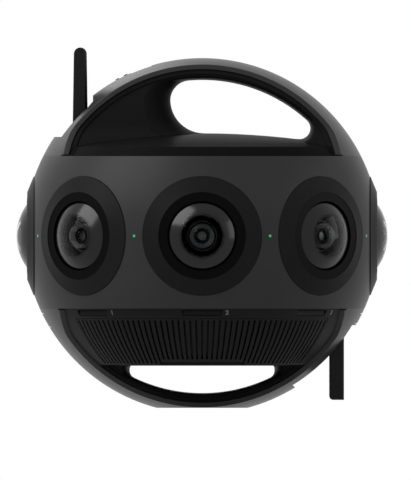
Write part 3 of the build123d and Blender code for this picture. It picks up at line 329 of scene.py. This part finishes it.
glasses = {
    "frontGlass": {
        "colour": (0.97, 0.98, 1.0, 1),
        "rough": 0.0,
        "bend": 1.45,
        "coating": (0.018, 0.02, 0.022, 1),
        "zoneStart": 0.0125,
        "zoneEnd": 0.0150,
        "backedRough": 0.19,
        "backedShine": 0.26,
        "groundHeight": 0.10765,
        "groundRadius": 0.0214,
    },
    "innerGlass": {
        "backedRough": 0.16,
        "backedShine": 0.3,
        "groundHeight": 0.1045,
        "groundRadius": 0.0091,
    },
}
for name, look in glasses.items():
    made[name] = glassFinish(name, look)


# Lit light pipe, midway between two lenses: a bright green core that fades to deep green
def lampFinish(name, look):
    material, tree, output, vector = startMaterial(name)
    swung = addNode(
        tree,
        "ShaderNodeMapping",
        sockets={"Vector": vector, "Rotation": (0, 0, math.pi / lensCount)},
    )
    radius = lensPolar(tree, swung.outputs["Vector"])[0]
    fade = ranged(tree, radius, 0.0, 1.0, look["coreRadius"], look["rimRadius"])
    shader = addNode(
        tree,
        "ShaderNodeBsdfPrincipled",
        sockets={
            "Base Color": look["rim"],
            "Roughness": look["rough"],
            "Emission Color": blended(tree, fade, look["core"], look["rim"]),
            "Emission Strength": look["strength"],
        },
    )
    tree.links.new(shader.outputs["BSDF"], output.inputs["Surface"])
    return material


greenLight = {
    "core": (0.10, 0.70, 0.25, 1),
    "rim": (0.0, 0.07, 0.02, 1),
    "coreRadius": 0.0003,
    "rimRadius": 0.001,
    "rough": 0.3,
    "strength": 0.6,
}
made["greenLight"] = lampFinish("greenLight", greenLight)

for name, finish in finishOfNode.items():
    cadNodes[name].data.materials.clear()
    cadNodes[name].data.materials.append(made[finish])
print("finishes:", len(made))


# New piece from a finished bmesh, in place, riding on a body; edges sharper than the
# smooth angle, in degrees, stay sharp
def addPiece(name, shape, finish, body="camera", smooth=40.0):
    bmesh.ops.remove_doubles(shape, verts=shape.verts, dist=1e-6)
    bmesh.ops.recalc_face_normals(shape, faces=shape.faces)
    mesh = bpy.data.meshes.new(name)
    shape.to_mesh(mesh)
    shape.free()
    piece = bpy.data.objects.new(name, mesh)
    bpy.context.scene.collection.objects.link(piece)
    mesh.materials.append(made[finish])
    mesh.shade_smooth()
    mesh.set_sharp_from_angle(angle=math.radians(smooth))
    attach(piece, body)


# Turned ring about +Z from a closed outline of (radius, height) points in millimetres
def turned(outline, steps=96):
    shape = bmesh.new()
    verts = [shape.verts.new((radius / 1000, 0, height / 1000)) for radius, height in outline]
    edges = [shape.edges.new(pair) for pair in zip(verts, verts[1:] + verts[:1])]
    bmesh.ops.spin(
        shape,
        geom=verts + edges,
        cent=(0, 0, 0),
        axis=(0, 0, 1),
        angle=math.tau,
        steps=steps,
        use_merge=True,
    )
    return shape


# From a shape turned about +Z to its place on a lens axis, the first one at the front
def lensPlace(index):
    turn = Matrix.Rotation(math.tau * index / lensCount, 4, "Z")
    return Matrix.Translation(ballCentre) @ turn @ Matrix.Rotation(math.radians(90), 4, "X")


# Millimetres; heights are distances from the ball's centre along the lens axis
lens = {
    "boreOuter": 12.08,
    "boreInner": 11.55,
    "boreTop": 107.75,
    "boreFloor": 105.6,
    "boreEdge": 0.45,
    "irisOuter": (9.0, 109.6),
    "irisInner": (6.2, 107.6),
    "irisFloor": 105.55,
    "irisWall": 0.8,
    "irisRecess": 1.2,
    "irisGrooves": (8.3, 7.6, 6.9),
    "grooveDepth": 0.5,
    "grooveMouth": 0.25,
    "grooveFloor": 0.15,
    "stopOuter": 6.2,
    "stopInner": 4.2,
    "stopTop": 107.2,
    "stopSkirt": 0.3,
    "lipRise": 0.5,
    "lipSteps": 10,
}


# Thin bright-edged ring at the mouth of the bore under the dome's hollow
def lensBoreRing():
    outer, inner = lens["boreOuter"], lens["boreInner"]
    top, edge = lens["boreTop"], lens["boreEdge"]
    return turned(
        [
            (outer, lens["boreFloor"]),
            (outer, top - edge / 3),
            (outer - edge / 3, top),
            (inner + edge / 3, top - edge / 2),
            (inner, top - edge),
            (inner, lens["boreFloor"]),
        ]
    )


# Sloping baffle with fine light-trap grooves round the inner element
def lensIris():
    outerRadius, outerHeight = lens["irisOuter"]
    innerRadius, innerHeight = lens["irisInner"]
    mouth, bottom = lens["grooveMouth"], lens["grooveFloor"]
    slope = (outerHeight - innerHeight) / (outerRadius - innerRadius)
    outline = [(outerRadius, lens["irisFloor"]), (outerRadius, outerHeight)]
    for radius in lens["irisGrooves"]:
        height = innerHeight + slope * (radius - innerRadius)
        outline += [
            (radius + mouth, height + slope * mouth),
            (radius + bottom, height - lens["grooveDepth"]),
            (radius - bottom, height - lens["grooveDepth"]),
            (radius - mouth, height - slope * mouth),
        ]
    wallRadius = outerRadius - lens["irisWall"]
    underside = lens["irisFloor"] + lens["irisRecess"]
    outline += [(innerRadius, innerHeight), (innerRadius, underside)]
    outline += [(wallRadius, underside), (wallRadius, lens["irisFloor"])]
    return turned(outline)


# Black stop ring with a rounded lip inside the baffle
def lensStop():
    middle = (lens["stopOuter"] + lens["stopInner"]) / 2
    half = (lens["stopOuter"] - lens["stopInner"]) / 2
    bottom = lens["stopTop"] - lens["stopSkirt"]
    outline = [(lens["stopOuter"], bottom)]
    for step in range(lens["lipSteps"] + 1):
        angle = math.pi * step / lens["lipSteps"]
        height = lens["stopTop"] + half * lens["lipRise"] * math.sin(angle)
        outline.append((middle + half * math.cos(angle), height))
    outline.append((lens["stopInner"], bottom))
    return turned(outline)


lensParts = (
    ("bore_ring", lensBoreRing, "boreEdge", 30.0),
    ("iris", lensIris, "irisBlack", 25.0),
    ("stop", lensStop, "barrelMatte", 25.0),
)
for index in range(lensCount):
    place = lensPlace(index)
    for kind, make, finish, sharp in lensParts:
        shape = make()
        bmesh.ops.transform(shape, matrix=place, verts=shape.verts)
        addPiece(f"lens_{kind}_{index + 1}", shape, finish, smooth=sharp)
print("lens optics:", len(lensParts) * lensCount, "pieces")

# Plain numbers beside the card slots, lying on the panel's round face
marks = {
    "height": 0.0030,
    "fontScale": 1.4,
    "boldness": 0.00008,
    "thickness": 0.00003,
    "lift": 0.00002,
    "panelRadius": 0.1116,
    "drop": 0.0492,
    "across": (-0.0577, 0.0160, 0.0828),
}


# Side is 1 for the front panel and -1 for the rear one
def plainNumber(number, across, side):
    curve = bpy.data.curves.new(f"card_number_{number}", "FONT")
    curve.body = str(number)
    curve.size = marks["height"] * marks["fontScale"]
    curve.extrude = marks["thickness"] / 2
    curve.offset = marks["boldness"]
    curve.align_x = "CENTER"
    curve.align_y = "CENTER"
    holder = bpy.data.objects.new("number_shape", curve)
    bpy.context.scene.collection.objects.link(holder)
    bpy.context.view_layer.update()
    graph = bpy.context.evaluated_depsgraph_get()
    flat = bpy.data.meshes.new_from_object(holder.evaluated_get(graph))
    bpy.data.objects.remove(holder)
    shape = bmesh.new()
    shape.from_mesh(flat)
    bpy.data.meshes.remove(flat)
    depth = math.sqrt(marks["panelRadius"] ** 2 - marks["drop"] ** 2 - across**2)
    outward = Vector((across * side, -depth * side, -marks["drop"])).normalized()
    right = Vector((0, 0, 1)).cross(outward).normalized()
    up = outward.cross(right)
    turn = Matrix((right, up, outward)).transposed().to_4x4()
    seat = ballCentre + outward * (marks["panelRadius"] + marks["lift"])
    bmesh.ops.transform(shape, matrix=Matrix.Translation(seat) @ turn, verts=shape.verts)
    addPiece(f"card_number_{number}", shape, "paleMark")


for first, side in ((1, 1), (1 + len(marks["across"]), -1)):
    for step, across in enumerate(marks["across"]):
        plainNumber(first + step, across, side)
print("card numbers:", cardCount)

# One ridge wound up the tripod socket's bore, rooted a little way into its wall
thread = {
    "bore": 0.00476,
    "rooted": 0.00003,
    "crest": 0.00415,
    "crestLow": 0.9,
    "crestHigh": 1.1,
    "pitch": 0.0015875,
    "halfRidge": 0.45,
    "turns": 4.2,
    "start": 0.0006,
    "steps": 36,
}


def socketThread():
    shape = bmesh.new()
    low = thread["start"]
    half = thread["pitch"] * thread["halfRidge"]
    root = thread["bore"] + thread["rooted"]
    corners = [
        (root, low),
        (thread["crest"], low + half * thread["crestLow"]),
        (thread["crest"], low + half * thread["crestHigh"]),
        (root, low + 2 * half),
    ]
    verts = [shape.verts.new((radius, 0, height)) for radius, height in corners]
    face = shape.faces.new(verts)
    count = int(thread["turns"] * thread["steps"])
    bmesh.ops.spin(
        shape,
        geom=[face] + list(face.edges) + verts,
        cent=(0, 0, 0),
        axis=(0, 0, 1),
        dvec=(0, 0, thread["pitch"] / thread["steps"]),
        angle=math.tau * count / thread["steps"],
        steps=count,
    )
    return shape


addPiece("socket_thread", socketThread(), "socketSteel", smooth=25.0)
print("socket thread")

# Floor, camera and lights
studio = {
    "floorSize": 6.0,
    "floorSides": 64,
    "floorShade": 0.8,
    "floorRough": 0.7,
    "white": 1.0,
    "worldLight": 0.3,
    "frameHeight": 0.3076,
    "frameCentre": (0.00218, -1.2, 0.10757),
    "farthest": 20,
}
floorMesh = bpy.data.meshes.new("studio_floor")
floorShape = bmesh.new()
bmesh.ops.create_circle(
    floorShape,
    cap_ends=True,
    segments=studio["floorSides"],
    radius=studio["floorSize"],
)
floorShape.to_mesh(floorMesh)
floorShape.free()
floor = bpy.data.objects.new("studio_floor", floorMesh)
bpy.context.scene.collection.objects.link(floor)
floorMaterial, floorTree, floorOutput = startMaterial("paleFloor")[:3]
floorShader = addNode(
    floorTree,
    "ShaderNodeBsdfPrincipled",
    sockets={"Base Color": grey(studio["floorShade"]), "Roughness": studio["floorRough"]},
)
# White where it is mirrored or seen through glass
floorPath = addNode(floorTree, "ShaderNodeLightPath").outputs
floorMirrored = calc(
    floorTree, "MAXIMUM", floorPath["Is Glossy Ray"], floorPath["Is Transmission Ray"]
)
floorWhite = addNode(floorTree, "ShaderNodeEmission", sockets={"Strength": studio["white"]})
floorSurface = mixedShader(
    floorTree, floorMirrored, floorShader.outputs[0], floorWhite.outputs[0]
)
floorTree.links.new(floorSurface, floorOutput.inputs["Surface"])
floorMesh.materials.append(floorMaterial)

# The world is white to the eye, in mirrors and through glass, and dimmer as a light
world = bpy.data.worlds.new("studioWorld")
bpy.context.scene.world = world
world.use_nodes = True
worldTree = world.node_tree
worldTree.nodes.clear()
worldOutput = addNode(worldTree, "ShaderNodeOutputWorld")
worldPath = addNode(worldTree, "ShaderNodeLightPath").outputs
seenDirect = calc(
    worldTree, "MAXIMUM", worldPath["Is Camera Ray"], worldPath["Is Transmission Ray"]
)
seenAny = calc(worldTree, "MAXIMUM", seenDirect, worldPath["Is Glossy Ray"])
worldLevel = ranged(worldTree, seenAny, studio["worldLight"], studio["white"], 0.0, 1.0)
worldShade = addNode(
    worldTree,
    "ShaderNodeBackground",
    sockets={"Color": grey(1), "Strength": worldLevel},
)
worldTree.links.new(worldShade.outputs[0], worldOutput.inputs["Surface"])

# Panels face the ball's centre, from a place that is measured from it
lamps = {
    "keyPanel": {"from": (-0.98, -0.60, 0.98), "size": (1.2, 1.1), "power": 23.0},
    "rimPanel": {"from": (-0.55, 1.05, 0.95), "size": (1.0, 1.0), "power": 4.5},
    "sidePanel": {"from": (1.45, -0.25, 0.15), "size": (1.2, 1.2), "power": 10.0},
}
for name, lamp in lamps.items():
    light = bpy.data.lights.new(name, "AREA")
    light.shape = "RECTANGLE"
    light.size, light.size_y = lamp["size"]
    light.energy = lamp["power"]
    panel = bpy.data.objects.new(name, light)
    bpy.context.scene.collection.objects.link(panel)
    panel.visible_camera = False
    panel.location = ballCentre + Vector(lamp["from"])
    panel.rotation_mode = "QUATERNION"
    panel.rotation_quaternion = (-Vector(lamp["from"])).to_track_quat("-Z", "Y")

camera = bpy.data.cameras.new("studio_camera")
camera.type = "ORTHO"
camera.ortho_scale = studio["frameHeight"]
camera.clip_end = studio["farthest"]
viewer = bpy.data.objects.new("studio_camera", camera)
bpy.context.scene.collection.objects.link(viewer)
viewer.location = studio["frameCentre"]
viewer.rotation_euler = (math.radians(90), 0, 0)
bpy.context.scene.camera = viewer
bpy.context.scene.view_settings.view_transform = "Standard"
print("studio ready")
